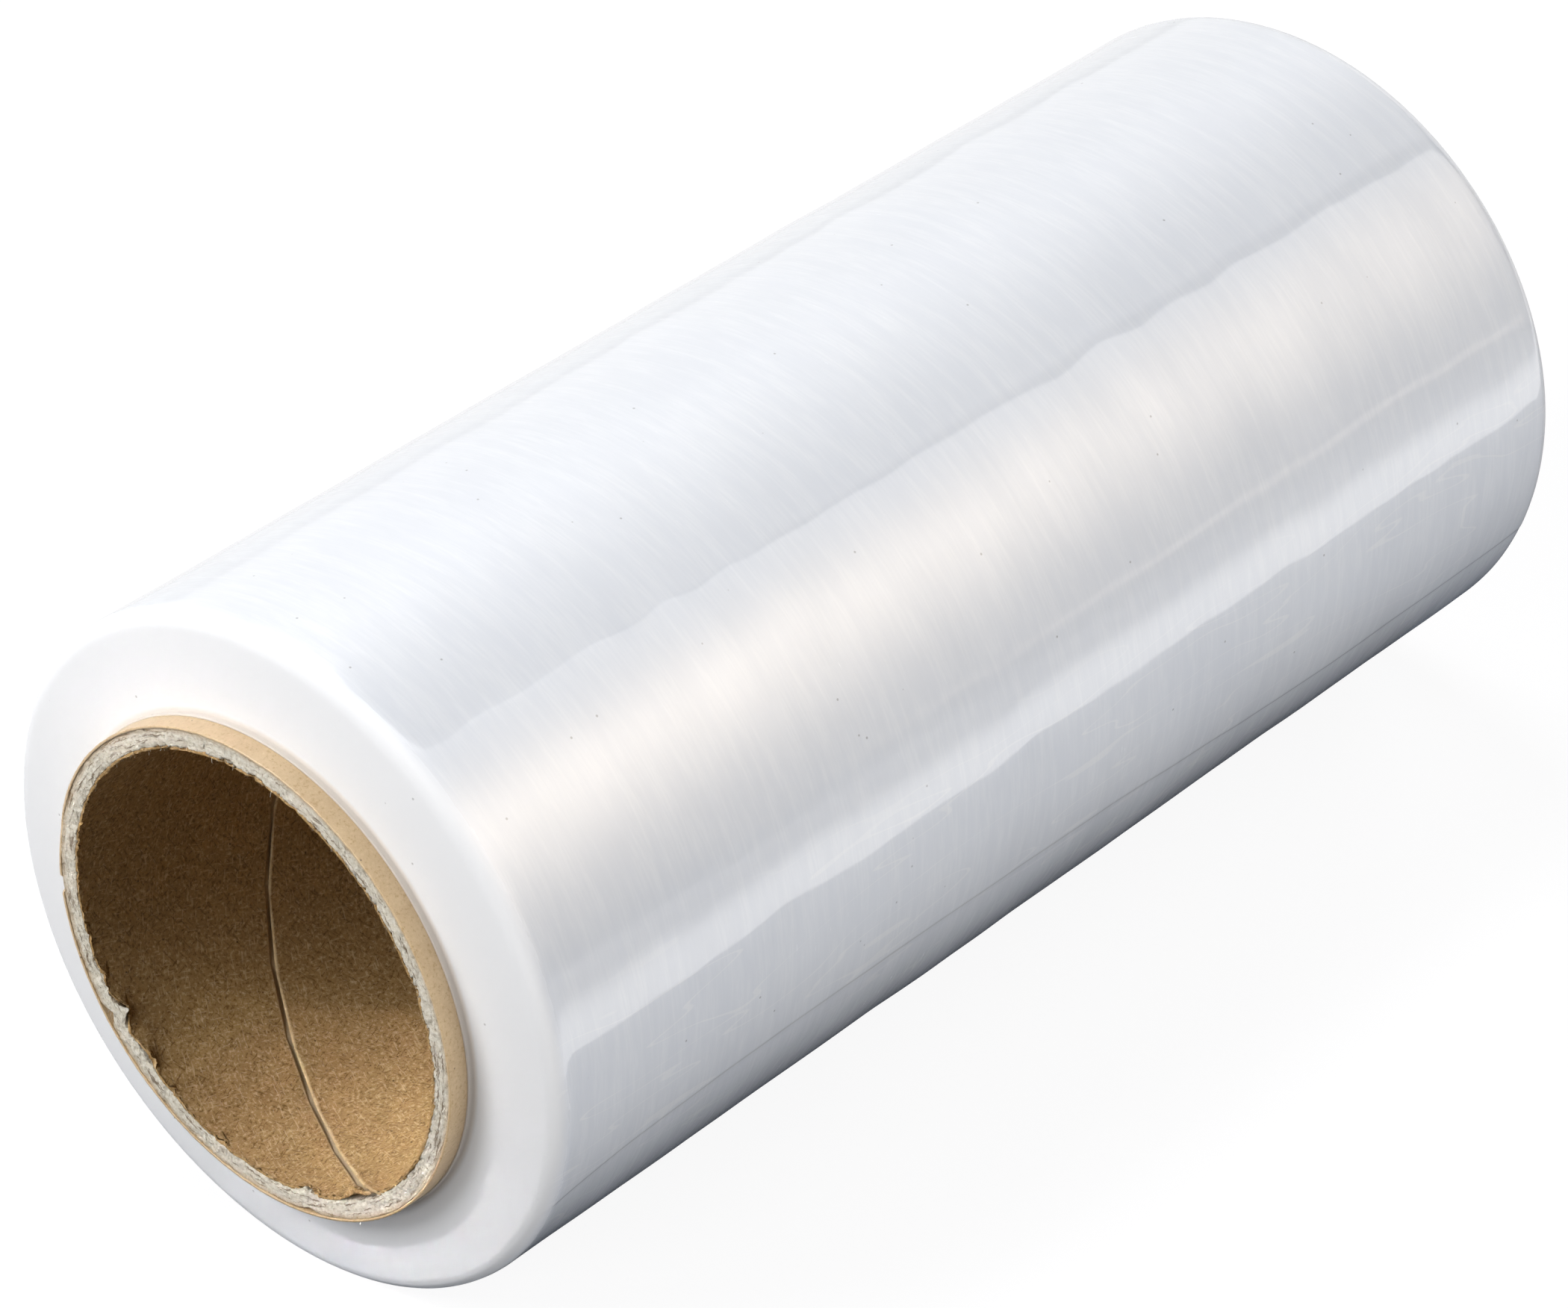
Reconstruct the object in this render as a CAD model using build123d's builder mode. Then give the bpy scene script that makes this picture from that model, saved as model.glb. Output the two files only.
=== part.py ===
"""Roll of cling film: clear film wound on a spiral paper core, lying on its side.

Millimetres, +Z up. The roll's axis runs along X, the origin is on the ground under the middle of
the roll, and the near end is the one at -X. Angles round the roll are measured from +Z towards -Y,
which is a right-hand turn about +X.
"""

import os
from math import cos, pi, radians, sin, sqrt

from build123d import *

os.makedirs("parts", exist_ok=True)

# Paper core, from the bore outwards
bore_diameter = 76.0
inner_ply_wall = 0.45
board_wall = 3.15
outer_ply_wall = 0.4
core_length = 262.0

# The inner ply is a strip wound in a helix, with a narrow gap left between its edges
seam_lead = 126.0
seam_gap = 1.7
seam_start_angle = 140.0

# A nick that the saw left in the outer ply at the near end
nick_angle = -94.0
nick_width = 2.4
nick_depth = 1.6

# Wound film; the diameter is the largest, over the last turn
film_diameter = 116.4
film_width = 250.0
rim_round = 3.2
end_dome = 1.2
first_turns_wall = 0.3
first_turns_reach = 1.1

# The last turn is a little loose, so it stands this far out, and its cut end is the tail
last_turn_wall = 0.12
tail_angle = 107.0

# The soft roll is pressed flat where it lies
flat_spot_width = 15.0

# Sizes that follow from the ones above
bore_radius = bore_diameter / 2
board_inner_radius = bore_radius + inner_ply_wall
board_outer_radius = board_inner_radius + board_wall
core_radius = board_outer_radius + outer_ply_wall
film_radius = film_diameter / 2
wind_radius = film_radius - last_turn_wall
axis_height = sqrt(film_radius**2 - (flat_spot_width / 2) ** 2)
roll_axis = Axis((0, 0, axis_height), (1, 0, 0))


def radial_plane(angle: float) -> Plane:
    """Plane through the roll's axis, whose local y points outwards at an angle."""
    turn = radians(angle)
    return Plane(origin=(0, 0, axis_height), x_dir=(1, 0, 0), z_dir=(0, -cos(turn), -sin(turn)))


def cross_plane(x: float) -> Plane:
    """Plane across the roll at x, whose local x points outwards at the seam's start."""
    turn = radians(seam_start_angle)
    return Plane(origin=(x, 0, axis_height), x_dir=(0, -sin(turn), cos(turn)), z_dir=(1, 0, 0))


def ply_section(inner: float, outer: float) -> Sketch:
    """Section across a ply of the core, at the core's near end."""
    with BuildSketch(cross_plane(-core_length / 2)) as section:
        Circle(outer)
        Circle(inner, mode=Mode.SUBTRACT)
    return section.sketch


def wind_section() -> Sketch:
    """Section along the wind under its last turn, from the core to the side, with rounded rims."""
    face_x = film_width / 2 + end_dome
    lip_x = face_x + first_turns_reach
    lip_radius = core_radius + first_turns_wall
    rim = (film_width / 2, wind_radius)
    far_side = [rim, (face_x, lip_radius), (lip_x, lip_radius), (lip_x, core_radius)]
    near_side = [(-x, radius) for x, radius in reversed(far_side)]
    with BuildSketch(radial_plane(0)) as section:
        with BuildLine():
            FilletPolyline(*far_side, *near_side, radius=[rim_round, 0, 0, 0, 0, 0, 0, rim_round], close=True)
        make_face()
    return section.sketch


def last_turn_section() -> Sketch:
    """Section along the last turn, sunk its own wall into the wind so that the two are one."""
    with BuildSketch(radial_plane(-180)) as section:
        with Locations((0, wind_radius)):
            Rectangle(film_width - 2 * rim_round, 2 * last_turn_wall)
    return section.sketch


# Film: the wind is turned whole, and the loose last turn runs over it from the flat spot, over the
# top and down to its tail
with BuildPart() as film_wind:
    revolve(wind_section(), axis=roll_axis)
    revolve(last_turn_section(), axis=roll_axis, revolution_arc=180 + tail_angle)
    split(bisect_by=Plane.XY, keep=Keep.TOP)
film_wind.part.label = "film_wind"

# Outer ply: smooth kraft with the saw's nick at the near end
with BuildPart() as core_outer_ply:
    extrude(ply_section(board_outer_radius, core_radius), amount=core_length)
    with BuildSketch(radial_plane(nick_angle)):
        with Locations((-core_length / 2, core_radius)):
            Polygon((0, nick_width / 2), (nick_depth, 0), (0, -nick_width / 2), align=None)
    extrude(amount=nick_width / 2, both=True, mode=Mode.SUBTRACT)
core_outer_ply.part.label = "core_outer_ply"

# Board: the thick grey body of the core
with BuildPart() as core_board:
    extrude(ply_section(board_inner_radius, board_outer_radius), amount=core_length)
core_board.part.label = "core_board"

# Seam: the gap between the strip's edges, swept along the axis while it turns with the helix
seam_rake = sqrt(1 + (2 * pi * bore_radius / seam_lead) ** 2)
near_end = Vector(-core_length / 2, 0, axis_height)
far_end = Vector(core_length / 2, 0, axis_height)
with BuildPart() as seam:
    with BuildLine() as seam_path:
        Line(near_end, far_end)
    with BuildLine() as seam_guide:
        Helix(seam_lead, core_length, bore_radius, center=near_end, direction=(1, 0, 0))
    with BuildSketch(cross_plane(-core_length / 2)) as seam_section:
        with Locations((board_inner_radius, 0)):
            Rectangle(4 * inner_ply_wall, seam_gap * seam_rake)
    sweep(seam_section.sketch, path=seam_path.line, binormal=seam_guide.edge())

# Inner ply: brown kraft strip wound in a helix
with BuildPart() as core_inner_ply:
    extrude(ply_section(bore_radius, board_inner_radius), amount=core_length)
    add(seam.part, mode=Mode.SUBTRACT)
core_inner_ply.part.label = "core_inner_ply"

export_step(film_wind.part, "parts/film_wind.step")
export_step(core_outer_ply.part, "parts/core_outer_ply.step")
export_step(core_board.part, "parts/core_board.step")
export_step(core_inner_ply.part, "parts/core_inner_ply.step")
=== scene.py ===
"""Looks of the roll of cling film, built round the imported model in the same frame, in metres.

The roll lies along X on the ground. Angles round it are in degrees, from straight up towards -Y, and
the near end is the one at -X. The materials read their patterns in millimetres.
"""

import logging
from dataclasses import dataclass
from enum import Enum
from math import atan2, cos, degrees, hypot, pi, radians, sin
from typing import Optional, Union

import bpy
import numpy as np
from mathutils import Matrix, Vector, noise

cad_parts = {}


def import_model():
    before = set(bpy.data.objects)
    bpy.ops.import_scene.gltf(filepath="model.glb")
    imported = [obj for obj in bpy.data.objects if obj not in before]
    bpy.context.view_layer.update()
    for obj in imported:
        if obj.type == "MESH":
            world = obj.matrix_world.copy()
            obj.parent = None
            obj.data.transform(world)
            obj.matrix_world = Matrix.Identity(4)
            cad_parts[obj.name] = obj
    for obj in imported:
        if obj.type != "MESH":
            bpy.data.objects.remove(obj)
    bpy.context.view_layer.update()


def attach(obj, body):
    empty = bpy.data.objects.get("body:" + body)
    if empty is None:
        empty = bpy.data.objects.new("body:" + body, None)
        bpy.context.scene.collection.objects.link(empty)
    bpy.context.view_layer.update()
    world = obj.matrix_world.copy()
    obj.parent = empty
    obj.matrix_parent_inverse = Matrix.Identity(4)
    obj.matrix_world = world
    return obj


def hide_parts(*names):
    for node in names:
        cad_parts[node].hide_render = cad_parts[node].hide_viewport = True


LOG = logging.getLogger("roll")
MM = 0.001
TO_MM = 1000.0
DEGREE = pi / 180
WHITE = (1.0, 1.0, 1.0)

Number = Union[float, int, "Link"]
Colour = Union[tuple, "Link"]
Values = Optional[dict]


class Link:
    """An output socket; Python's operators on it add Math nodes."""

    def __init__(self, tree: "Nodes", socket: bpy.types.NodeSocket) -> None:
        """Wraps a socket of a tree."""
        self.tree = tree
        self.socket = socket

    def math(self, operation: str, *others: Number) -> "Link":
        """Result of a Math node on this value and others."""
        return self.tree.math(operation, self, *others)

    def __add__(self, other: Number) -> "Link":
        """Sum."""
        return self.math("ADD", other)

    __radd__ = __add__

    def __sub__(self, other: Number) -> "Link":
        """Difference."""
        return self.math("SUBTRACT", other)

    def __rsub__(self, other: Number) -> "Link":
        """Difference, with the plain number first."""
        return self.tree.math("SUBTRACT", other, self)

    def __mul__(self, other: Number) -> "Link":
        """Product."""
        return self.math("MULTIPLY", other)

    __rmul__ = __mul__

    def __truediv__(self, other: Number) -> "Link":
        """Quotient."""
        return self.math("DIVIDE", other)

    def __neg__(self) -> "Link":
        """Value with its sign turned."""
        return self.math("MULTIPLY", -1.0)

    def __abs__(self) -> "Link":
        """Value without its sign."""
        return self.math("ABSOLUTE")

    def least(self, other: Number) -> "Link":
        """The smaller of two values."""
        return self.math("MINIMUM", other)

    def most(self, other: Number) -> "Link":
        """The larger of two values."""
        return self.math("MAXIMUM", other)

    def step(self, low: float, high: float) -> "Link":
        """Smooth step from 0 at low to 1 at high, or the other way round where low is the larger.

        Args:
            low: Where the step is 0.
            high: Where the step is 1.

        Returns:
            The share between 0 and 1.
        """
        ends = {1: low, 2: high, 3: 0.0, 4: 1.0}
        if low > high:
            ends = {1: high, 2: low, 3: 1.0, 4: 0.0}
        return self.tree.add("ShaderNodeMapRange", {"interpolation_type": "SMOOTHSTEP"}, {0: self, **ends})

    def peak(self, middle: float, width: float) -> "Link":
        """Bell of height 1 round a middle, whose width is its standard deviation."""
        share = (self - middle) / width
        return (share * share * -0.5).math("EXPONENT")


class Nodes:
    """A node tree of either kind, with one method that adds any node."""

    def __init__(self, tree: bpy.types.NodeTree) -> None:
        """Wraps an empty tree."""
        self.tree = tree

    def node(self, kind: str, settings: Values = None, inputs: Values = None) -> bpy.types.Node:
        """Adds a node.

        Args:
            kind: The node's type.
            settings: Its properties, where "points" are those of a float curve.
            inputs: Values or links for its sockets, by name or number.

        Returns:
            The node.
        """
        made = self.tree.nodes.new(kind)
        for name, value in (settings or {}).items():
            if name == "points":
                self._points(made.mapping, value)
            else:
                setattr(made, name, value)
        for key, value in (inputs or {}).items():
            if isinstance(value, Link):
                self.tree.links.new(value.socket, made.inputs[key])
            else:
                made.inputs[key].default_value = value
        return made

    def add(
        self, kind: str, settings: Values = None, inputs: Values = None, output: Union[int, str] = 0
    ) -> Link:
        """Adds a node, as above, and wraps the output of a name or number."""
        return Link(self, self.node(kind, settings, inputs).outputs[output])

    @staticmethod
    def _points(mapping: bpy.types.CurveMapping, points: tuple) -> None:
        """Sets the points of a float curve, each a place and a height."""
        curve = mapping.curves[0]
        while len(curve.points) < len(points):
            curve.points.new(0.5, 0.5)
        for point, place in zip(curve.points, points):
            point.location = place
        mapping.update()

    def math(self, operation: str, *values: Number) -> Link:
        """Adds a Math node with an operation on some values."""
        return self.add("ShaderNodeMath", {"operation": operation}, dict(enumerate(values)))

    def vector(self, x: Number, y: Number, z: Number) -> Link:
        """Vector of three values."""
        return self.add("ShaderNodeCombineXYZ", None, {0: x, 1: y, 2: z})

    def parts(self, vector: Link) -> tuple[Link, Link, Link]:
        """The three values of a vector."""
        made = self.node("ShaderNodeSeparateXYZ", None, {0: vector})
        return tuple(Link(self, socket) for socket in made.outputs)

    def noise(self, place: Link, scale: float = 1.0, detail: float = 2.0, rough: float = 0.5) -> Link:
        """Smooth noise between 0 and 1, with finer octaves in detail that are as strong as rough."""
        sockets = {"Vector": place, "Scale": scale, "Detail": detail, "Roughness": rough}
        return self.add("ShaderNodeTexNoise", None, sockets)

    def dots(self, place: Link, scale: float) -> Link:
        """Distance to the nearest of many scattered points."""
        return self.add("ShaderNodeTexVoronoi", {"feature": "F1"}, {"Vector": place, "Scale": scale})

    def curve(self, value: Link, points: tuple) -> Link:
        """Height of a drawn curve at a place between 0 and 1."""
        return self.add("ShaderNodeFloatCurve", {"points": points}, {"Value": value})

    def mix(self, share: Number, first: Colour, second: Colour) -> Link:
        """Mix of two colours with a share of the second."""
        ends = [(*c, 1.0) if isinstance(c, tuple) else c for c in (first, second)]
        return self.add("ShaderNodeMix", {"data_type": "RGBA"}, {0: share, 6: ends[0], 7: ends[1]}, 2)

    def stored(self, geometry: Link, name: str, value: Link, kind: str = "FLOAT_VECTOR") -> Link:
        """Geometry whose points keep a value of a data type under a name."""
        sockets = {"Geometry": geometry, "Name": name, "Value": value}
        return self.add("GeometryNodeStoreNamedAttribute", {"data_type": kind, "domain": "POINT"}, sockets)

    def named(self, name: str, kind: str) -> Link:
        """Value of a data type that points keep under a name."""
        return self.add("GeometryNodeInputNamedAttribute", {"data_type": kind}, {"Name": name})

    def random(self, low: Number, high: Number, seed: int) -> Link:
        """Random number for each point.

        Args:
            low: The least.
            high: The most.
            seed: Which row of numbers.

        Returns:
            The number.
        """
        ends = {"Min": low, "Max": high, "Seed": seed}
        made = self.node("FunctionNodeRandomValue", {"data_type": "FLOAT"})
        for socket in made.inputs:
            value = ends.get(socket.name) if socket.enabled else None
            if isinstance(value, Link):
                self.tree.links.new(value.socket, socket)
            elif value is not None:
                socket.default_value = value
        return Link(self, next(socket for socket in made.outputs if socket.enabled))


def shade(red: float, green: float, blue: float) -> tuple[float, float, float]:
    """Linear colour of one that is written as it looks, from 0 to 255."""
    shares = [value / 255 for value in (red, green, blue)]
    return tuple(c / 12.92 if c <= 0.04045 else ((c + 0.055) / 1.055) ** 2.4 for c in shares)


@dataclass(frozen=True)
class Roll:
    """Places that every piece shares, in metres and degrees."""

    axis_height: float = 57.715 * MM
    wind_radius: float = 58.08 * MM
    film_half: float = 125.0 * MM
    core_half: float = 131.0 * MM
    bore_radius: float = 38.0 * MM
    board_inner: float = 38.45 * MM
    board_outer: float = 41.6 * MM
    core_radius: float = 42.0 * MM
    seam_lead: float = 126.0 * MM
    seam_start: float = 140.0
    seam_gap: float = 1.9


class Slot(Enum):
    """The record's material slots."""

    FILM = "clear_film"
    OUTER = "tan_kraft"
    BOARD = "grey_board"
    INNER = "brown_kraft"


class Finish:
    """A material made of nodes; each kind fills in its own."""

    name = "finish"

    def made(self) -> bpy.types.Material:
        """Builds the material.

        Returns:
            The material.
        """
        material = bpy.data.materials.new(self.name)
        material.use_nodes = True
        material.node_tree.nodes.clear()
        nodes = Nodes(material.node_tree)
        shader = self.surface(nodes)
        nodes.node("ShaderNodeOutputMaterial", None, {"Surface": shader})
        return material

    def surface(self, nodes: Nodes) -> Link:
        """Adds the nodes of the surface and returns its shader."""
        raise NotImplementedError

    @staticmethod
    def place(nodes: Nodes) -> Link:
        """Object coordinates in millimetres."""
        spot = nodes.add("ShaderNodeTexCoord", None, None, "Object")
        return nodes.add("ShaderNodeVectorMath", {"operation": "SCALE"}, {0: spot, "Scale": TO_MM})

    @staticmethod
    def sheet(nodes: Nodes) -> tuple[Link, Link, Link]:
        """Millimetres along the roll, round it, and past the edge of the sheet that is wound on it."""
        return nodes.parts(nodes.add("ShaderNodeAttribute", {"attribute_name": "sheet"}, None, "Vector"))

    @staticmethod
    def radius(y: Link, z: Link) -> Link:
        """Distance from the roll's axis in millimetres."""
        up = z - Roll.axis_height / MM
        return (y * y + up * up).math("SQRT")

    @staticmethod
    def bump(nodes: Nodes, height: Link, depth: float) -> Link:
        """Normal of a height between 0 and 1, where 1 is a depth in metres."""
        return nodes.add("ShaderNodeBump", None, {"Strength": 1.0, "Distance": depth, "Height": height})


@dataclass(frozen=True)
class ClearFilm(Finish):
    """Wound clear film: glossy and streaked on its side, frosted at its ends."""

    name: str = "clear film"
    body: tuple = shade(222, 226, 235)
    haze: tuple = shade(245, 247, 251)
    end: tuple = shade(230, 231, 234)
    near_core: tuple = shade(214, 190, 158)
    speck: tuple = shade(120, 118, 116)
    # Painted shade beside the tail's edge
    tail_painted_shade: tuple = shade(120, 128, 138)
    face_span: tuple = (121.8, 124.4)
    sleeve_span: tuple = (43.4, 42.2)
    side_rough: float = 0.2
    end_rough: float = 0.8

    def surface(self, nodes: Nodes) -> Link:
        """Adds the film's nodes.

        Args:
            nodes: The material's nodes.

        Returns:
            The shader.
        """
        spot = self.place(nodes)
        x, y, z = nodes.parts(spot)
        along, across, past = self.sheet(nodes)
        face = abs(x).step(*self.face_span)
        side = 1 - face
        sleeve = self.radius(y, z).step(*self.sleeve_span) * face

        # The streaks run round the roll and lean a little here and there
        lean = nodes.noise(spot, 0.02, 1.0)
        run = across + along * ((lean - 0.5) * 0.15)
        streaks = nodes.noise(nodes.vector(along * 2.1, run * 0.16, 0.0), detail=3.0, rough=0.6)
        scuffs = nodes.noise(nodes.vector(along * 0.5, run * 0.06, 9.0))
        patches = scuffs.step(0.35, 0.65)
        cloud = nodes.noise(spot, 0.03)
        hazy = streaks.step(0.34, 0.66) * (patches * 0.16 + 0.04) + patches * 0.08 + cloud * 0.3 + 0.2

        colour = nodes.mix(face, nodes.mix(hazy, self.body, self.haze), self.end)
        colour = nodes.mix(sleeve * 0.5, colour, self.near_core)
        colour = nodes.mix(nodes.dots(spot, 0.16).step(0.045, 0.02) * 0.5, colour, self.speck)

        # Pale hair lines lie at the tail and below it; its edge gets a painted highlight, with a faint
        # painted shade beside it
        creases = nodes.noise(nodes.vector(along * 0.02, run * 0.16, 3.0), detail=1.0)
        lines = abs(creases - 0.5).step(0.008, 0.003) * past.step(-40.0, -20.0) * 0.32
        tail = past.peak(0.0, 0.22) * 0.4
        colour = nodes.mix(lines.most(tail) * side, colour, WHITE)
        colour = nodes.mix(past.peak(0.9, 0.35) * side * 0.05, colour, self.tail_painted_shade)

        rough = (streaks - 0.5) * 0.28 + (cloud - 0.5) * 0.08 + self.side_rough
        height = (streaks * patches * 0.5 + scuffs * 2.0) * side
        sockets = {
            "Base Color": colour,
            "Roughness": rough.most(0.1) * side + face * self.end_rough,
            "IOR": 1.5,
            "Specular IOR Level": 1.0,
            "Subsurface Weight": 0.35,
            "Subsurface Radius": WHITE,
            "Subsurface Scale": 0.004,
            "Coat Weight": side,
            "Coat Roughness": 0.03,
            "Coat IOR": 1.8,
            "Normal": self.bump(nodes, height, 0.000014),
        }
        return nodes.add("ShaderNodeBsdfPrincipled", None, sockets)


@dataclass(frozen=True)
class Kraft(Finish):
    """Kraft paper with fibres that lie every way, and brown unless it is told otherwise."""

    name: str = "brown kraft"
    ground: tuple = shade(174, 142, 95)
    dark: tuple = shade(106, 78, 46)
    light: tuple = shade(214, 188, 150)
    worn: tuple = shade(216, 194, 158)
    speck: tuple = shade(60, 42, 28)
    fibres: float = 0.9
    satin: float = 0.0
    seed: float = 0.0
    rough: float = 0.72

    def surface(self, nodes: Nodes) -> Link:
        """Adds the paper's nodes.

        Args:
            nodes: The material's nodes.

        Returns:
            The shader.
        """
        spot = self.place(nodes)
        along, across, past = self.sheet(nodes)
        mottle = nodes.noise(spot, 0.35, 4.0, 0.6)
        grain = nodes.noise(spot, 1.7, 4.0, 0.7)
        colour = nodes.mix(mottle.step(0.25, 0.8) * 0.3, self.ground, self.dark)
        colour = nodes.mix(grain.step(0.53, 0.66) * 0.75, colour, self.light)
        colour = nodes.mix(grain.step(0.46, 0.36) * 0.75, colour, self.dark)
        layers = ((self.dark, 0.75), (self.light, 0.6), (self.dark, 0.6), (self.light, 0.5))
        for count, (tone, share) in enumerate(layers):
            fibre = self._fibre(nodes, along, across, 20.0 + 47.0 * count, self.seed + count)
            colour = nodes.mix(fibre * (share * self.fibres), colour, tone)
        colour = nodes.mix(nodes.dots(spot, 0.3).step(0.07, 0.03) * 0.8, colour, self.speck)
        rubbed = nodes.noise(nodes.vector(along * 0.4, 0.0, self.seed), detail=3.0, rough=0.6)
        colour = nodes.mix(past.step(1.3, 0.5) * rubbed.step(0.3, 0.55) * 0.45, colour, self.worn)
        sockets = {
            "Base Color": colour,
            "Roughness": (grain - 0.5) * 0.2 + self.rough,
            "Specular IOR Level": 0.1,
            "Coat Weight": self.satin,
            "Coat Roughness": 0.3,
            "Coat IOR": 1.8,
            "Normal": self.bump(nodes, grain * 0.7 + mottle * 0.3, 0.00008),
        }
        return nodes.add("ShaderNodeBsdfPrincipled", None, sockets)

    @staticmethod
    def _fibre(nodes: Nodes, along: Link, across: Link, angle: float, seed: float) -> Link:
        """Mask of short fibres that lie near one direction of the sheet.

        Args:
            nodes: The material's nodes.
            along: Place along the roll, in millimetres.
            across: Place round it, in millimetres.
            angle: The fibres' direction, in degrees.
            seed: Shifts the pattern.

        Returns:
            The mask.
        """
        long, wide = 0.45, 3.2
        turn = radians(angle)
        run = along * (cos(turn) * long) + across * (sin(turn) * long)
        side = across * (cos(turn) * wide) - along * (sin(turn) * wide)
        return nodes.noise(nodes.vector(run, side, seed * 7.3), detail=1.0).step(0.63, 0.71)


@dataclass(frozen=True)
class GreyBoard(Finish):
    """Grey board, seen where the saw tore its layers."""

    name: str = "grey board"
    ground: tuple = shade(207, 199, 182)
    pale: tuple = shade(230, 225, 213)
    line: tuple = shade(112, 92, 68)
    under_outer: tuple = shade(178, 150, 112)
    in_bore: tuple = shade(182, 163, 134)
    outer_span: tuple = (40.5, 41.4)
    bore_span: tuple = (38.9, 38.6)
    cut_span: tuple = (129.6, 128.6)

    def surface(self, nodes: Nodes) -> Link:
        """Adds the board's nodes.

        Args:
            nodes: The material's nodes.

        Returns:
            The shader.
        """
        spot = self.place(nodes)
        x, y, z = nodes.parts(spot)
        radius = self.radius(y, z)
        wander = nodes.noise(spot, 0.5, 3.0, 0.6)
        grain = nodes.noise(spot, 1.4, 5.0, 0.75)
        rings = nodes.vector(radius * 2.4 + wander * 2.0, y * 0.22, z * 0.22)
        layer = nodes.noise(rings, detail=3.0, rough=0.6)
        colour = nodes.mix(grain.step(0.42, 0.62), self.ground, self.pale)
        colour = nodes.mix(grain.step(0.42, 0.33) * 0.7, colour, self.line)
        colour = nodes.mix(layer.step(0.55, 0.64) * 0.8, colour, self.line)
        colour = nodes.mix(radius.step(*self.outer_span) * 0.45, colour, self.under_outer)
        bore = radius.step(*self.bore_span) * abs(x).step(*self.cut_span)
        colour = nodes.mix(bore, colour, self.in_bore)
        sockets = {
            "Base Color": colour,
            "Roughness": (grain - 0.5) * 0.1 + 0.88,
            "Specular IOR Level": 0.2,
            "Normal": self.bump(nodes, grain * 0.6 + layer * 0.4, 0.0005),
        }
        return nodes.add("ShaderNodeBsdfPrincipled", None, sockets)


def path_ray(nodes: Nodes, kind: str) -> Link:
    """1 for rays of one kind, such as Glossy."""
    return nodes.add("ShaderNodeLightPath", None, None, f"Is {kind} Ray")


def seen_rays(nodes: Nodes) -> Link:
    """1 for rays that show the surroundings: from the camera, in gloss and through glass."""
    rays = [path_ray(nodes, kind) for kind in ("Camera", "Glossy", "Transmission")]
    return rays[0].most(rays[1]).most(rays[2])


@dataclass(frozen=True)
class PaleFloor(Finish):
    """Floor that looks white where nothing shades it, darker in the film's gloss, with a painted shadow of
    the roll there.
    """

    name: str = "pale floor"
    bounce: tuple = (0.09, 0.108, 0.14)
    near_bounce: tuple = (0.18, 0.18, 0.18)
    pale: tuple = (0.15, 0.15, 0.155, 1.0)
    glow: float = 0.89

    def surface(self, nodes: Nodes) -> Link:
        """Adds the floor's nodes.

        Args:
            nodes: The material's nodes.

        Returns:
            The shader.
        """
        x, y, _ = nodes.parts(self.place(nodes))
        glossy = path_ray(nodes, "Glossy")

        # Zones of the floor that gloss shows darker: in front, beside the roll, a painted shadow of the
        # roll, and darker floor far off and behind it
        beside = y.step(60.0, 10.0) * x.step(-300.0, -200.0)
        front = y.step(-174.0, -168.0) * beside * x.step(460.0, 400.0)
        far = y.step(-235.0, -400.0) * 0.95
        behind = y.step(60.0, 100.0) * 0.13
        lit = 1 - (front * 0.5 + far + behind) * glossy

        bounce = nodes.mix(x.step(-135.0, -165.0), self.bounce, self.near_bounce)
        plain = nodes.add("ShaderNodeBsdfDiffuse", None, {"Color": bounce})
        pale = nodes.add("ShaderNodeBsdfDiffuse", None, {"Color": self.pale})
        glow = nodes.add("ShaderNodeEmission", None, {"Color": (*WHITE, 1.0), "Strength": lit * self.glow})
        both = nodes.add("ShaderNodeAddShader", None, {0: pale, 1: glow})
        # In gloss, the painted shadow in front shows the dark floor
        seen = seen_rays(nodes) * (1 - front * glossy)
        return nodes.add("ShaderNodeMixShader", None, {0: seen, 1: plain, 2: both})


def spaced(start: float, stop: float, count: int) -> list:
    """Even places from start up to but without stop."""
    return [start + (stop - start) * i / count for i in range(count)]


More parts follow.
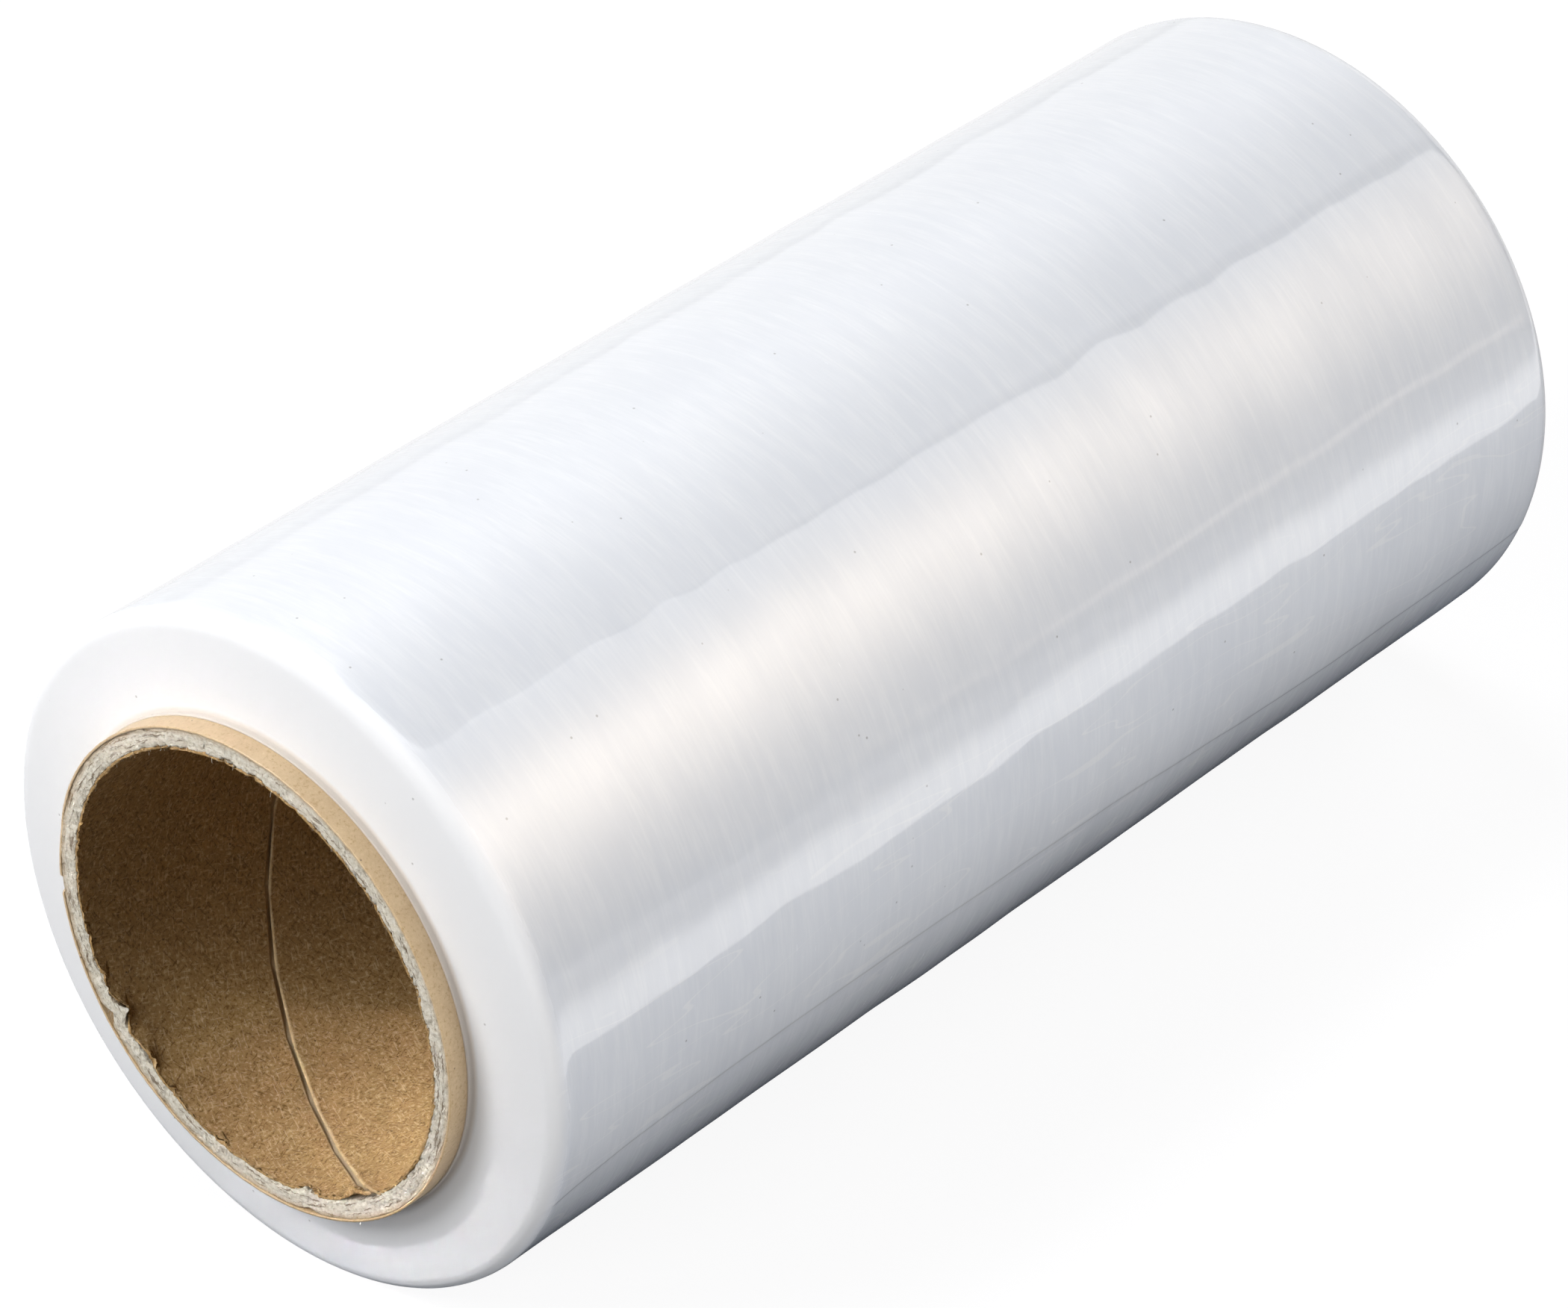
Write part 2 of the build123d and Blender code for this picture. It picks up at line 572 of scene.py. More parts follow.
@dataclass
class Tree:
    """A Geometry Nodes tree with named inputs, whose result is kept as a plain mesh.

    Args:
        name: Name of the piece and of its tree.
    """

    name: str = "tree"

    def __post_init__(self) -> None:
        """Starts the tree with its inputs."""
        self.group = bpy.data.node_groups.new(self.name, "GeometryNodeTree")
        self.nodes = Nodes(self.group)
        face = self.group.interface
        face.new_socket("Geometry", in_out="INPUT", socket_type="NodeSocketGeometry")
        face.new_socket("Geometry", in_out="OUTPUT", socket_type="NodeSocketGeometry")
        self.sockets = {
            label: face.new_socket(label, in_out="INPUT", socket_type=kind).identifier
            for label, (kind, _) in self.inputs().items()
        }
        self.entry = self.nodes.node("NodeGroupInput")

    def inputs(self) -> dict:
        """Named inputs of the tree, each its socket type and its value."""
        return {
            "Axis Height": ("NodeSocketFloat", Roll.axis_height),
            "Material": ("NodeSocketMaterial", None),
        }

    def input(self, label: str) -> Link:
        """The tree's named input."""
        return Link(self.nodes, self.entry.outputs[label])

    def start_line(self, points: list) -> bpy.types.Object:
        """Object that the tree starts from: one closed line.

        Args:
            points: The line's points, each the place along the roll and the radius.

        Returns:
            The object, linked to the scene.
        """
        mesh = bpy.data.meshes.new(self.name)
        edges = [(i, (i + 1) % len(points)) for i in range(len(points))]
        mesh.from_pydata([(x, r, 0.0) for x, r in points], edges, [])
        made = bpy.data.objects.new(self.name, mesh)
        bpy.context.scene.collection.objects.link(made)
        return made

    def built(self, geometry: Link, points: list, finish: Finish) -> bpy.types.Object:
        """Ends the tree, runs it on a line and keeps its result as a plain mesh.

        Args:
            geometry: What the tree makes.
            points: The line's points.
            finish: What the piece is made of.

        Returns:
            The piece, at the origin and with no modifier.
        """
        nodes = self.nodes
        real = nodes.add("GeometryNodeRealizeInstances", None, {0: geometry})
        ends = {"Geometry": real, "Material": self.input("Material")}
        done = nodes.add("GeometryNodeSetMaterial", None, ends)
        nodes.node("NodeGroupOutput", None, {0: done})
        made = self.start_line(points)
        modifier = made.modifiers.new(self.name, "NODES")
        modifier.node_group = self.group
        material = finish.made()
        for label, (_, value) in self.inputs().items():
            modifier[self.sockets[label]] = material if label == "Material" else value
        graph = bpy.context.evaluated_depsgraph_get()
        ready = made.evaluated_get(graph)
        mesh = bpy.data.meshes.new_from_object(ready, preserve_all_data_layers=True, depsgraph=graph)
        made.modifiers.clear()
        made.data = mesh
        mesh.name = made.name
        LOG.info("%s: %d faces", made.name, len(mesh.polygons))
        return made


@dataclass
class Turned(Tree):
    """A closed form turned round the roll's axis.

    Args:
        columns: How many columns of points it has round the axis.
    """

    name: str = "turned"
    columns: int = 256

    def inputs(self) -> dict:
        """Named inputs of the tree, with the columns."""
        return {**super().inputs(), "Columns": ("NodeSocketInt", self.columns)}

    def place(self, x: Link, radius: Link, share: Link) -> tuple[Link, Link, Link, Number]:
        """Where a point of the turned form goes; each kind gives its own rule.

        Args:
            x: Place along the roll.
            radius: Distance from the axis.
            share: Share of the way round.

        Returns:
            The place along the roll, the angle in degrees, the radius, and how far past the edge of
            its sheet the point is, in millimetres.
        """
        raise NotImplementedError

    def turned(self, points: list, finish: Finish) -> bpy.types.Object:
        """Turns a closed line into a plain mesh.

        Args:
            points: The line's points.
            finish: What the form is made of.

        Returns:
            The form.
        """
        nodes = self.nodes
        profile = nodes.add("GeometryNodeMeshToCurve", None, {0: self.input("Geometry")})
        profile = nodes.stored(profile, "line", nodes.add("GeometryNodeInputPosition"))
        swept = nodes.add("GeometryNodeCurveToMesh", None, {0: self.path(), 1: profile})
        x, radius, _ = nodes.parts(nodes.named("line", "FLOAT_VECTOR"))
        x, angle, radius, past = self.place(x, radius, nodes.named("share", "FLOAT"))
        turn = angle * DEGREE
        height = (radius * turn.math("COSINE") + self.input("Axis Height")).most(0.0)
        spread = nodes.vector(x, -(radius * turn.math("SINE")), height)
        moved = nodes.add("GeometryNodeSetPosition", None, {"Geometry": swept, "Position": spread})
        merged = nodes.add("GeometryNodeMergeByDistance", None, {"Geometry": moved, "Distance": 1e-6})
        sheet = nodes.vector(x * TO_MM, turn * radius * TO_MM, past)
        labelled = nodes.stored(merged, "sheet", sheet)
        smooth = nodes.add("GeometryNodeSetShadeSmooth", None, {"Geometry": labelled})
        return self.built(smooth, points, finish)

    def path(self) -> Link:
        """Ring that the line is swept round, each point with its share of the way."""
        columns = self.input("Columns")
        ring = {"Resolution": columns, "Radius": 1.0}
        return self.shared(self.nodes.add("GeometryNodeCurvePrimitiveCircle", None, ring), columns)

    def shared(self, path: Link, steps: Link) -> Link:
        """Path of so many steps whose points keep their share of the way."""
        share = self.nodes.add("GeometryNodeInputIndex") / steps
        return self.nodes.stored(path, "share", share, "FLOAT")


@dataclass
class FilmWind(Turned):
    """The wound film: a slightly uneven drum with domed ends and a tail where its last turn ends.

    Args:
        rim_round: Radius of the rims.
        end_dome: How far an end stands out near the core.
        sleeve_wall: Thickness of the first turns.
        sleeve_reach: How far they reach out along the core.
        tail: The tail's angle.
        tail_span: Degrees beside the tail in which the columns stand closer.
        step_height: How far the last turn stands out.
        sunk: How far the side lies under the solid's.
        proud: How far it may stand over it.
        gauge: Curve of the film's thickness, from the near end to the far end.
        gauge_depth: How deep the bands are that it makes.
        drift: Curve of how far the tail wanders.
        slack_depth: How deep the long slack waves are.
        ripple_depth: How deep the shorter ripples are.
    """

    name: str = "film_wind_skin"
    columns: int = 288
    rim_round: float = 3.2 * MM
    end_dome: float = 1.2 * MM
    sleeve_wall: float = 0.3 * MM
    sleeve_reach: float = 1.1 * MM
    tail: float = 107.0
    tail_span: float = 12.0
    step_height: float = 0.09 * MM
    sunk: float = 0.04 * MM
    proud: float = 0.11 * MM
    gauge: tuple = (
        (0.0, 0.45), (0.07, 0.38), (0.2, 0.52), (0.36, 0.62), (0.5, 0.68),
        (0.62, 0.62), (0.74, 0.36), (0.86, 0.42), (0.95, 0.52), (1.0, 0.45),
    )
    gauge_depth: float = 0.42 * MM
    drift: tuple = (
        (0.0, 0.85), (0.05, 0.55), (0.13, 0.45), (0.5, 0.45),
        (0.62, 0.55), (0.72, 0.66), (0.9, 0.66), (1.0, 0.6),
    )
    slack_depth: float = 0.26 * MM
    ripple_depth: float = 0.36 * MM

    def line(self) -> list:
        """Closed section from the far seat over the side to the near seat.

        Returns:
            The line's points.
        """
        half, radius, bend = Roll.film_half, Roll.wind_radius, self.rim_round
        face, reach = half + self.end_dome, self.sleeve_reach
        sleeve = Roll.core_radius + self.sleeve_wall
        lip = [
            (face + reach, Roll.core_radius),
            (face + reach * 0.97, sleeve - 0.05 * MM),
            (face + reach * 0.8, sleeve),
            (face + 0.2 * MM, sleeve),
        ]
        drop = radius - bend - sleeve
        heights = spaced(sleeve + 0.25 * MM, radius - bend, 12)
        dome = [(face - self.end_dome * ((r - sleeve) / drop) ** 1.3, r) for r in heights]
        turns = [radians(90 * i / 9) for i in range(10)]
        rim = [(half - bend + bend * cos(t), radius - bend + bend * sin(t)) for t in turns]
        far = lip + dome + rim
        start = half - bend - 1.2 * MM
        side = [(x, radius) for x in spaced(start, -start, 150)] + [(-start, radius)]
        return far + side + [(-x, r) for x, r in reversed(far)]

    def place(self, x: Link, radius: Link, share: Link) -> tuple[Link, Link, Link, Number]:
        """Rule of the drum: gauge bands, slack waves, the last turn's step and its tail.

        Args:
            x: Place along the roll.
            radius: Distance from the axis.
            share: Share of the way round.

        Returns:
            The place along the roll, the angle, the radius, and the distance past the tail.
        """
        nodes = self.nodes
        side = radius.step(Roll.wind_radius - 0.9 * MM, Roll.wind_radius)
        along = (x + Roll.film_half) / (2 * Roll.film_half)

        # The columns stand close at the tail, so that its step is sharp, and follow its drift
        away = share * 360.0 - 180.0 - self.tail
        closer = away * (abs(away).step(0.5, self.tail_span) * 0.9 + 0.1)
        shift = (nodes.curve(along, self.drift) - 0.5) * 20.0 * abs(away).step(45.0, 0.0)
        angle = closer + self.tail + shift

        # The waves are read on a drum of about the roll's own radius, in millimetres
        drum, turn, run = 58.0, angle * DEGREE, x * TO_MM
        across, up = turn.math("SINE") * drum, turn.math("COSINE") * drum
        slack = nodes.noise(nodes.vector(run * 0.045, across * 0.012, up * 0.012), detail=1.5, rough=0.45)
        ripple = nodes.noise(nodes.vector(run * 0.05, across * 0.034, up * 0.034), detail=1.0)
        bands = (nodes.curve(along, self.gauge) - 0.68) * self.gauge_depth
        grow = bands + (slack - 0.5) * self.slack_depth + (ripple - 0.5) * self.ripple_depth
        grow = grow + closer.step(0.3, -0.3) * self.step_height
        skin = (radius - self.sunk * side + grow * side).least(Roll.wind_radius + self.proud)
        return x, angle, skin, closer * (Roll.wind_radius / MM * DEGREE)

    def dress(self) -> bpy.types.Object:
        """Builds the film and gives it its finish."""
        made = self.turned(self.line(), ClearFilm())
        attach(made, "root")
        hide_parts("film_wind")
        return made


def fall(away: float, reach: float) -> float:
    """Share that falls from 1 to 0 within a reach."""
    return max(0.0, 1.0 - away / reach)


@dataclass(frozen=True)
class Tear:
    """A place on the near cut end that the saw tore.

    Args:
        angle: Where it is, in degrees.
        spread: How wide it is, in degrees.
        inward: How far the paper is pushed towards the axis, in metres.
        back: How far the edge is torn back, in metres.
        depth: How far down the core it reaches, in metres.
    """

    angle: float
    spread: float
    inward: float = 0.0
    back: float = 0.0
    depth: float = 2.0 * MM

    def share(self, angle: float, sharp: float = 1.0) -> float:
        """Share of the tear at an angle; where sharp is above 1 it comes to a point."""
        away = abs((angle - self.angle + 180.0) % 360.0 - 180.0)
        return fall(away, self.spread) ** sharp


@dataclass(frozen=True)
class Wear:
    """Roughness of a ply's cut ends, made in its mesh.

    Args:
        tears: The tears at the near end.
        fray: How uneven the cut is, in metres.
        chips: How far chips of the inner edge are broken back, in metres.
        seed: Shifts the pattern.
        reach: How far from a cut any wear goes.
        fray_reach: How far the fraying goes.
        chip_reach: How far the chips go.
    """

    tears: tuple
    fray: float
    chips: float
    seed: float
    reach: float = 6.0 * MM
    fray_reach: float = 1.6 * MM
    chip_reach: float = 2.4 * MM

    def apply(self, made: bpy.types.Object, inner: float, outer: float) -> None:
        """Moves the points near both cut ends.

        Args:
            made: The ply's object.
            inner: Its inner radius.
            outer: Its outer radius.
        """
        mesh = made.data
        flat = np.zeros(len(mesh.vertices) * 3)
        mesh.vertices.foreach_get("co", flat)
        for place in flat.reshape(-1, 3):
            depth = Roll.core_half - abs(place[0])
            if depth < self.reach:
                self._move(place, depth, inner, outer)
        mesh.vertices.foreach_set("co", flat)
        mesh.update()

    def _move(self, place: np.ndarray, depth: float, inner: float, outer: float) -> None:
        """Moves one point.

        Args:
            place: The point, changed in place.
            depth: Its distance from the cut.
            inner: The ply's inner radius.
            outer: The ply's outer radius.
        """
        y, z = place[1], place[2] - Roll.axis_height
        radius = hypot(y, z)
        angle = degrees(atan2(-y, z))
        near = place[0] < 0

        # The noise is drawn out along the roll and differs at the two ends
        spot = Vector((place[0] * 0.2, y, z)) * TO_MM + Vector((self.seed, 0.0, 31.0 if near else 0.0))
        coarse = noise.noise(spot * 0.55) + 0.5 * noise.noise(spot * 1.3)
        fine = noise.noise(spot * 2.9) + 0.6 * noise.noise(spot * 6.1)
        close = fall(depth, self.fray_reach)
        back = self.fray * (0.9 + 0.55 * coarse + 0.45 * fine) * close

        # Chips break back the inner edge alone
        at_bore = max(0.0, min(1.0, (inner + 0.8 * MM - radius) / (0.6 * MM)))
        chip = max(0.0, noise.noise(spot * 0.8 + Vector((50.0, 0.0, 0.0))) + 0.5 * fine - 0.1)
        back += self.chips * chip * at_bore * fall(depth, self.chip_reach)

        # The two walls swell apart where the cut frays, and the tears push them inwards
        middle = (inner + outer) / 2
        side = 1.0 if radius > middle else -1.0
        edge = abs(radius - middle) / ((outer - inner) / 2)
        out = side * edge**4 * self.fray * (0.35 * coarse + 0.5 * fine) * close**1.5
        for tear in self.tears if near else ():
            reach = fall(depth, tear.depth)
            push = 0.5 + 0.5 * (1.0 - side) / 2 + 0.25 * edge
            out -= tear.inward * tear.share(angle, 1.4) * reach * push
            back += tear.back * tear.share(angle) * reach
        sign = -1.0 if near else 1.0
        scale = (radius + out) / radius
        place[0] -= sign * max(0.0, back)
        place[1] = y * scale
        place[2] = Roll.axis_height + z * scale


@dataclass
class Ply(Turned):
    """One ply of the paper core, plain or wound as a strip with a helical gap.

    Args:
        inner: Its inner radius.
        outer: Its outer radius.
        wound: Whether it is a strip.
        raised: How far its bore stands in, under the ply that lines it, away from the cuts.
        row: Length of a strip's rows away from the cuts.
        plain_rows: How many rows a plain ply has there.
        layer: Thickness of the rows on a cut.
        wear: Roughness of its cut ends.
    """

    name: str = "ply"
    columns: int = 720
    inner: float = Roll.bore_radius
    outer: float = Roll.board_inner
    wound: bool = False
    raised: float = 0.0
    row: float = 6.0 * MM
    plain_rows: int = 6
    layer: float = 0.3 * MM
    wear: Wear = Wear((), 0.0, 0.0, 0.0)

    def inputs(self) -> dict:
        """Named inputs of the tree, with those of the strip's helix."""
        helix = {
            "Lead": ("NodeSocketFloat", Roll.seam_lead),
            "Start Angle": ("NodeSocketFloat", Roll.seam_start),
            "Gap": ("NodeSocketFloat", Roll.seam_gap if self.wound else 0.0),
        }
        return {**super().inputs(), **helix}

    def line(self) -> list:
        """Closed section of the ply's wall, with close rows near the cut ends.

        Returns:
            The line's points.
        """
        half = Roll.core_half
        fine = [half - depth * MM for depth in (0.0, 0.12, 0.3, 0.55, 0.9, 1.4, 2.2, 3.4, 5.0)]
        count = round(2 * fine[-1] / self.row) if self.wound else self.plain_rows
        rows = fine + spaced(fine[-1], -fine[-1], count)[1:] + [-x for x in reversed(fine)]
        layers = max(2, round((self.outer - self.inner) / self.layer))
        wall = spaced(self.inner, self.outer, layers)[1:]
        return (
            [(x, self.outer) for x in rows]
            + [(-half, r) for r in reversed(wall)]
            + [(x, self.inner) for x in reversed(rows)]
            + [(half, r) for r in wall]
        )

    def path(self) -> Link:
        """The ring of a plain ply, or the open way round of a strip."""
        if not self.wound:
            return super().path()
        nodes, columns = self.nodes, self.input("Columns")
        straight = nodes.add("GeometryNodeCurvePrimitiveLine", None, {"Start": (0, 0, 0), "End": (1, 0, 0)})
        ends = {"Curve": straight, "Count": columns}
        return self.shared(nodes.add("GeometryNodeResampleCurve", {"mode": "COUNT"}, ends), columns - 1)

    def place(self, x: Link, radius: Link, share: Link) -> tuple[Link, Link, Link, Number]:
        """Rule of a ply: a strip's columns follow the helix, and its edges thin out.

        Args:
            x: Place along the roll.
            radius: Distance from the axis.
            share: Share of the way round.

        Returns:
            The place along the roll, the angle, the radius, and the distance past the strip's edge.
        """
        start = self.input("Start Angle")
        if not self.wound:
            no_edge = 99.0
            deep = abs(x).step(Roll.core_half - 2.0 * MM, Roll.core_half - 5.0 * MM)
            bore = radius.step(self.inner + 0.1 * MM, self.inner) * deep
            return x, share * 360.0 + start, radius - bore * self.raised, no_edge
        turned = (x + Roll.core_half) / self.input("Lead") * 360.0
        gap = self.input("Gap")
        angle = turned + start + gap / 2 + share * (360.0 - gap)
        past = share.least(1 - share)
        inside = (past * (self.columns - 1)).least(1.0)
        middle = (self.inner + self.outer) / 2
        return x, angle, (radius - middle) * inside + middle, past * (2 * pi * self.inner / MM)

    def worn(self, finish: Finish) -> bpy.types.Object:
        """Builds the ply and wears its cut ends."""
        made = self.turned(self.line(), finish)
        self.wear.apply(made, self.inner, self.outer)
        return made


@dataclass
class InnerPly(Ply):
    """Brown strip that lines the bore, wound in a helix with a narrow gap."""

    name: str = "core_inner_ply_skin"
    columns: int = 480
    wound: bool = True
    wear: Wear = Wear(
        tears=(
            Tear(147.0, 9.0, inward=1.7 * MM, depth=4.5 * MM),
            Tear(-126.0, 5.0, inward=0.5 * MM, back=1.6 * MM, depth=3.0 * MM),
            Tear(-138.0, 7.0, inward=0.8 * MM, back=0.3 * MM, depth=4.0 * MM),
            Tear(166.0, 5.0, inward=0.3 * MM, back=1.0 * MM, depth=3.0 * MM),
        ),
        fray=0.4 * MM,
        chips=0.9 * MM,
        seed=3.0,
    )

    def dress(self) -> bpy.types.Object:
        """Builds the ply and gives it its finish."""
        made = self.worn(Kraft())
        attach(made, "root")
        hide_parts("core_inner_ply")
        return made


@dataclass
class Board(Ply):
    """Thick grey body of the core."""

    name: str = "core_board_skin"
    inner: float = Roll.board_inner
    outer: float = Roll.board_outer
    raised: float = 0.3 * MM
    wear: Wear = Wear(
        tears=(
            Tear(-126.0, 3.4, inward=2.6 * MM, depth=1.3 * MM),
            Tear(166.0, 4.5, inward=1.0 * MM, depth=1.6 * MM),
        ),
        fray=0.42 * MM,
        chips=0.9 * MM,
        seed=3.0,
    )

    def dress(self) -> bpy.types.Object:
        """Builds the board and gives it its finish."""
        made = self.worn(GreyBoard())
        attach(made, "root")
        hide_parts("core_board")
        return made


@dataclass
class OuterPly(Ply):
    """Smooth tan paper outside the core."""

    name: str = "core_outer_ply_skin"
    inner: float = Roll.board_outer
    outer: float = Roll.core_radius
    wear: Wear = Wear(
        tears=(
            Tear(-94.0, 2.2, inward=0.3 * MM, back=1.5 * MM, depth=2.2 * MM),
            Tear(-80.0, 12.0, back=0.35 * MM, depth=1.4 * MM),
        ),
        fray=0.16 * MM,
        chips=0.0,
        seed=23.0,
    )

    def dress(self) -> bpy.types.Object:
        """Builds the ply and gives it its finish."""
        tan = Kraft(
            name="tan kraft",
            ground=shade(206, 180, 142),
            dark=shade(176, 144, 100),
            light=shade(212, 186, 148),
            fibres=0.2,
            satin=0.6,
            seed=5.0,
            rough=0.6,
        )
        made = self.worn(tan)
        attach(made, "root")
        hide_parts("core_outer_ply")
        return made


@dataclass
class Fibres(Tree):
    """Loose fibres that stand out of the board's torn cut at the near end.

    Args:
        count: How many there are.
        length: Their length before each is scaled.
        thickness: Their radius before each is scaled.
        inner: Least distance from the axis.
        outer: Most distance from the axis.
        along: Place along the roll.
    """

    name: str = "core_board_fibres"
    count: int = 900
    length: float = 1.1 * MM
    thickness: float = 0.035 * MM
    inner: float = 38.3 * MM
    outer: float = 41.4 * MM
    along: float = -130.5 * MM

    def inputs(self) -> dict:
        """Named inputs of the tree, with the fibres' number and sizes."""
        own = {
            "Count": ("NodeSocketInt", self.count),
            "Length": ("NodeSocketFloat", self.length),
            "Thickness": ("NodeSocketFloat", self.thickness),
            "Inner Radius": ("NodeSocketFloat", self.inner),
            "Outer Radius": ("NodeSocketFloat", self.outer),
            "Place Along": ("NodeSocketFloat", self.along),
        }
        return {**super().inputs(), **own}

    def hair(self) -> Link:
        """One bent fibre, as a thin three-sided tube."""
        nodes, long = self.nodes, self.input("Length")
        bend = {
            "Resolution": 5,
            "Start": (0.0, 0.0, 0.0),
            "Middle": nodes.vector(long * 0.5, long * 0.3, 0.0),
            "End": nodes.vector(long, long * 0.1, long * 0.1),
        }
        line = nodes.add("GeometryNodeCurveQuadraticBezier", None, bend)
        sides = {"Resolution": 3, "Radius": self.input("Thickness")}
        ring = nodes.add("GeometryNodeCurvePrimitiveCircle", None, sides)
        return nodes.add("GeometryNodeCurveToMesh", None, {0: line, 1: ring})

    def dress(self) -> bpy.types.Object:
        """Builds the fibres and gives them the board's finish."""
        nodes = self.nodes
        turn = nodes.random(0.0, 2 * pi, 1)
        radius = nodes.random(self.input("Inner Radius"), self.input("Outer Radius"), 2)
        up = radius * turn.math("COSINE") + self.input("Axis Height")
        spot = nodes.vector(self.input("Place Along"), -(radius * turn.math("SINE")), up)
        points = nodes.add("GeometryNodePoints", None, {"Count": self.input("Count"), "Position": spot})
        pitch = nodes.random(0.0, 0.3, 4) + (pi / 2 - 0.15)
        way = nodes.vector(nodes.random(0.0, 2 * pi, 3), pitch, nodes.random(-0.3, 0.3, 5))
        size = nodes.random(0.4, 1.3, 6)
        spread = {"Points": points, "Instance": self.hair(), "Rotation": way, "Scale": size}
        placed = nodes.add("GeometryNodeInstanceOnPoints", None, spread)
        made = self.built(placed, [(0.0, 0.0), (MM, 0.0)], GreyBoard(name="fibres"))
        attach(made, "root")
        return made


@dataclass(frozen=True)
class SoftBox:
    """A studio lamp with a soft white front, whose long side lies along X.

    Args:
        name: The lamp's name.
        centre: Where it is, in metres.
        aim: The point it faces.
        size: Its length along X and its height.
        power: Watts.
        colour: Its light's colour.
        spread: How wide its light opens, in degrees.
        mirrored: Whether gloss shows it.
    """

    name: str
    centre: tuple
    aim: tuple
    size: tuple
    power: float
    colour: tuple = WHITE
    spread: float = 180.0
    mirrored: bool = True

    def place(self) -> None:
        """Adds the lamp."""
        lamp = bpy.data.lights.new(self.name, "AREA")
        lamp.shape = "RECTANGLE"
        lamp.size, lamp.size_y = self.size
        lamp.energy = self.power
        lamp.color = self.colour
        lamp.spread = radians(self.spread)
        made = bpy.data.objects.new(self.name, lamp)
        made.location = self.centre
        away = Vector(self.centre) - Vector(self.aim)
        up = away.cross(Vector((1.0, 0.0, 0.0))).normalized()
        across = up.cross(away).normalized()
        turn = Matrix([across, up, away.normalized()]).transposed()
        made.rotation_euler = turn.to_euler()
        made.visible_camera = False
        made.visible_glossy = self.mirrored
        bpy.context.scene.collection.objects.link(made)
        LOG.info("lamp %s", self.name)


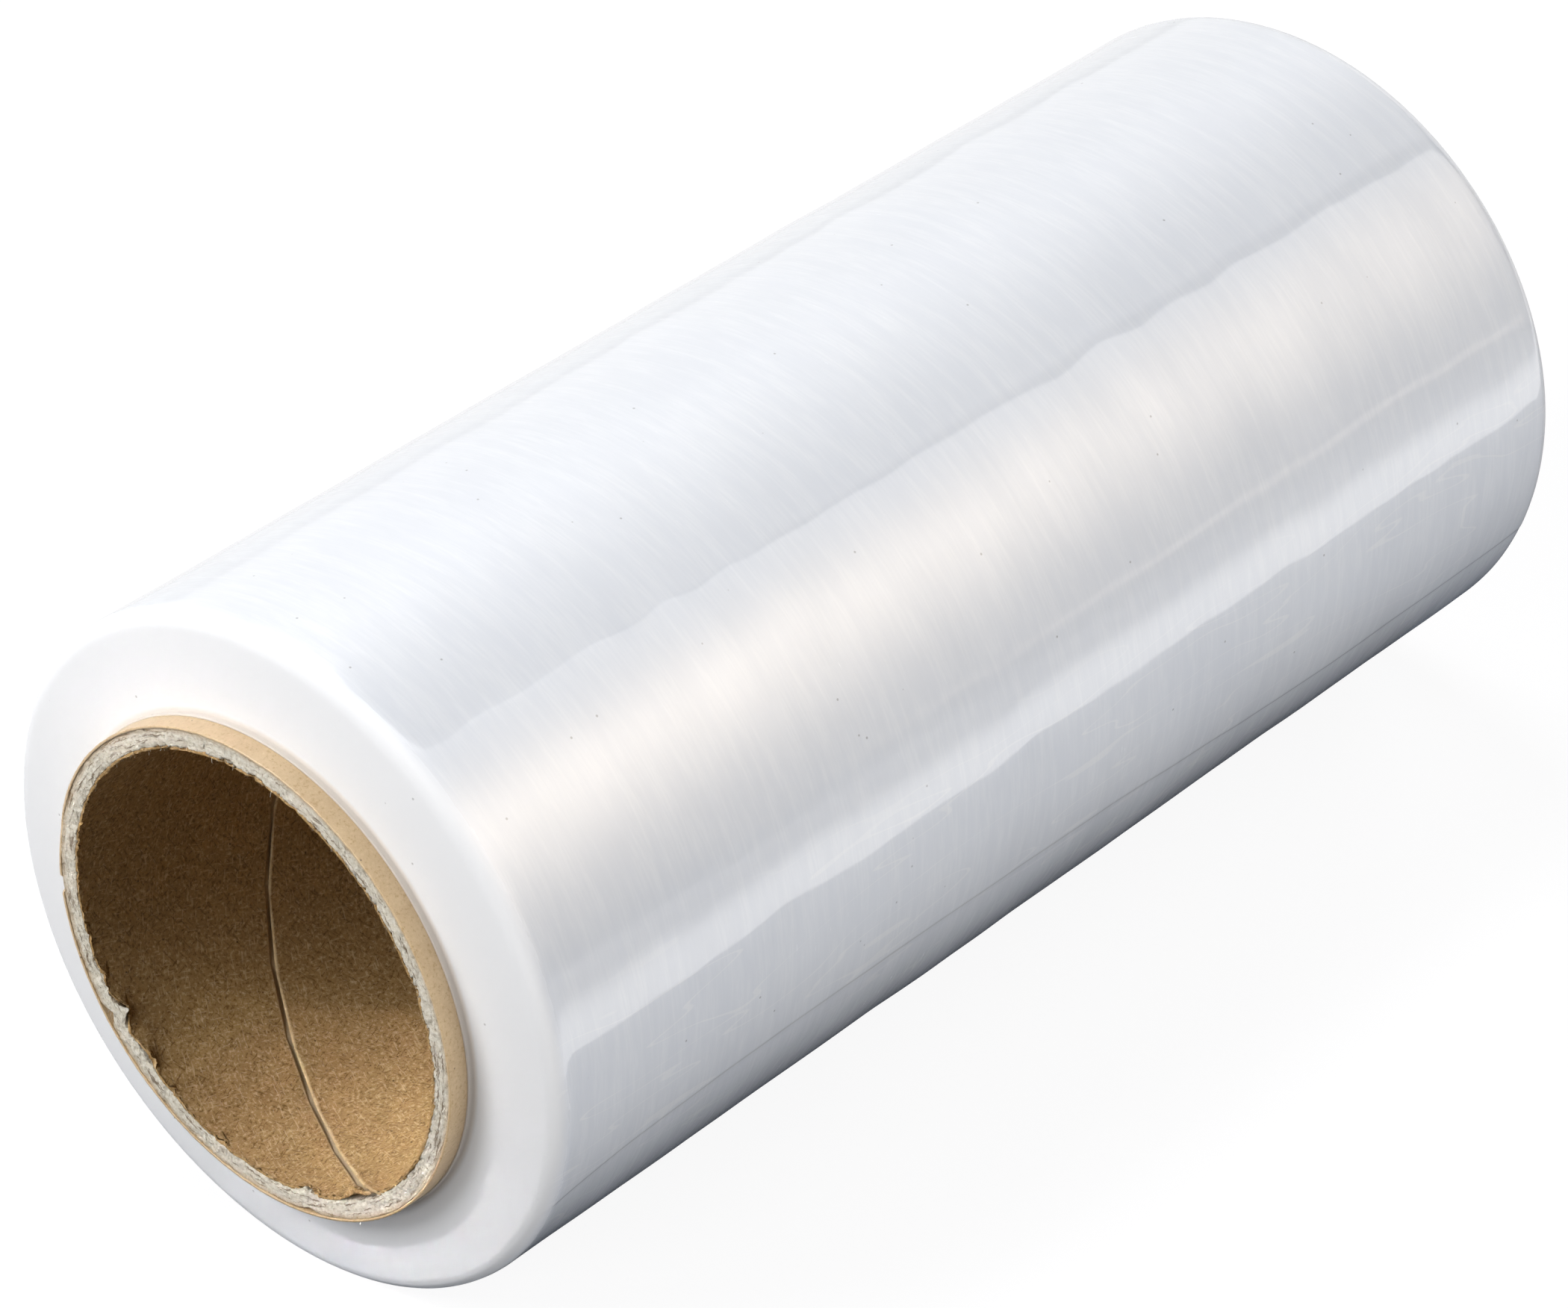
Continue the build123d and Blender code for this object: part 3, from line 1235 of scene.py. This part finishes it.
@dataclass(frozen=True)
class Studio:
    """Camera, lamps, floor and surroundings."""

    lamps: tuple = (
        SoftBox("top sheet", (-0.8, 0.36, 0.7), (-0.1, 0.0, 0.058), (0.55, 0.55), 8.9, (1.0, 0.995, 0.985)),
        SoftBox("over sheet", (0.3, 0.7, 1.25), (0.05, 0.0, 0.058), (0.6, 0.6), 9.0, (0.98, 0.99, 1.0)),
        SoftBox(
            "left sheet", (-1.05, -0.06, 0.42), (-0.13, 0.0, 0.058), (0.25, 0.4), 2.6, (1.0, 0.995, 0.98)
        ),
        SoftBox("right sheet", (1.1, 0.25, 0.45), (0.13, 0.0, 0.058), (0.4, 0.4), 2.6, mirrored=False),
        SoftBox(
            "low fill", (0.15, -1.0, 0.27), (0.1, 0.0, 0.058), (0.5, 0.3), 7.6, (1.0, 0.98, 0.95),
            mirrored=False,
        ),
        SoftBox(
            "bore lamp", (-0.48, 0.24, 0.44), (-0.096, -0.028, 0.013), (0.03, 0.03), 0.008,
            spread=8.0, mirrored=False,
        ),
    )
    floor_size: float = 6.0
    camera_place: tuple = (-0.6283, -0.5454, 0.6156)
    camera_turn: tuple = (55.788, 0.0, -48.64)
    camera_lens: float = 139.91
    even_light: float = 0.05

    def floor(self) -> None:
        """Adds the floor."""
        half = self.floor_size / 2
        mesh = bpy.data.meshes.new("floor")
        corners = [(-half, -half, 0), (half, -half, 0), (half, half, 0), (-half, half, 0)]
        mesh.from_pydata(corners, [], [(0, 1, 2, 3)])
        made = bpy.data.objects.new("floor", mesh)
        bpy.context.scene.collection.objects.link(made)
        mesh.materials.append(PaleFloor().made())

    def surroundings(self) -> None:
        """White surroundings to the camera and in gloss, and a low even light elsewhere."""
        world = bpy.data.worlds.new("surroundings")
        world.use_nodes = True
        world.node_tree.nodes.clear()
        nodes = Nodes(world.node_tree)
        x, y, z = nodes.parts(nodes.add("ShaderNodeTexCoord", None, None, "Generated"))
        slope = y / (y * y + z * z).math("SQRT").most(0.001)
        glossy = path_ray(nodes, "Glossy")

        # Gloss shows a dark zone overhead with a slanting edge, a dim front with a thin bright line
        # low in it, and a warm glow
        edge = slope + (x - 0.57) * 0.77
        overhead = edge.step(-0.26, -0.24) * slope.step(0.75, -0.25) * z.step(0.25, 0.4)
        low = z.step(0.42, 0.08) * slope.step(0.0, -0.3)
        thin = z.peak(0.015, 0.012) * slope.step(0.0, -0.5) * x.peak(0.69, 0.05)
        front = slope.step(-0.24, -0.3) * 0.42 - thin * 0.6
        warm = slope.peak(-0.72, 0.14) * x.step(0.78, 0.56) * z.step(0.0, 0.1) * glossy
        strength = 1 + warm * 1.9 - glossy * (overhead * 0.95 + low * 0.5 + front)
        tone = nodes.mix(slope.step(-0.24, -0.6) * glossy, WHITE, (1.0, 0.86, 0.7))

        shown = nodes.add("ShaderNodeBackground", None, {"Color": tone, "Strength": strength})
        cool = {"Color": (0.93, 0.96, 1.0, 1.0), "Strength": self.even_light}
        even = nodes.add("ShaderNodeBackground", None, cool)
        mixed = nodes.add("ShaderNodeMixShader", None, {0: seen_rays(nodes), 1: even, 2: shown})
        nodes.node("ShaderNodeOutputWorld", None, {"Surface": mixed})
        bpy.context.scene.world = world

    def camera(self) -> None:
        """Adds the camera at the photograph's place."""
        data = bpy.data.cameras.new("camera")
        data.lens = self.camera_lens
        data.sensor_width = 36.0
        data.clip_start = 0.05
        data.clip_end = 50.0
        made = bpy.data.objects.new("camera", data)
        made.location = self.camera_place
        made.rotation_euler = [radians(angle) for angle in self.camera_turn]
        bpy.context.scene.collection.objects.link(made)
        bpy.context.scene.camera = made

    def build(self) -> None:
        """Adds everything round the object."""
        self.camera()
        self.surroundings()
        self.floor()
        for lamp in self.lamps:
            lamp.place()
        bpy.context.scene.view_settings.view_transform = "Standard"


def main() -> None:
    """Builds the studio and the pieces, and logs how many points each has."""
    logging.basicConfig(level=logging.INFO, format="%(name)s: %(message)s")
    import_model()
    Studio().build()
    for piece in (FilmWind, InnerPly, Board, OuterPly, Fibres):
        made = piece().dress()
        LOG.info("%s: %d points", made.name, len(made.data.vertices))


if __name__ == "__main__":
    main()
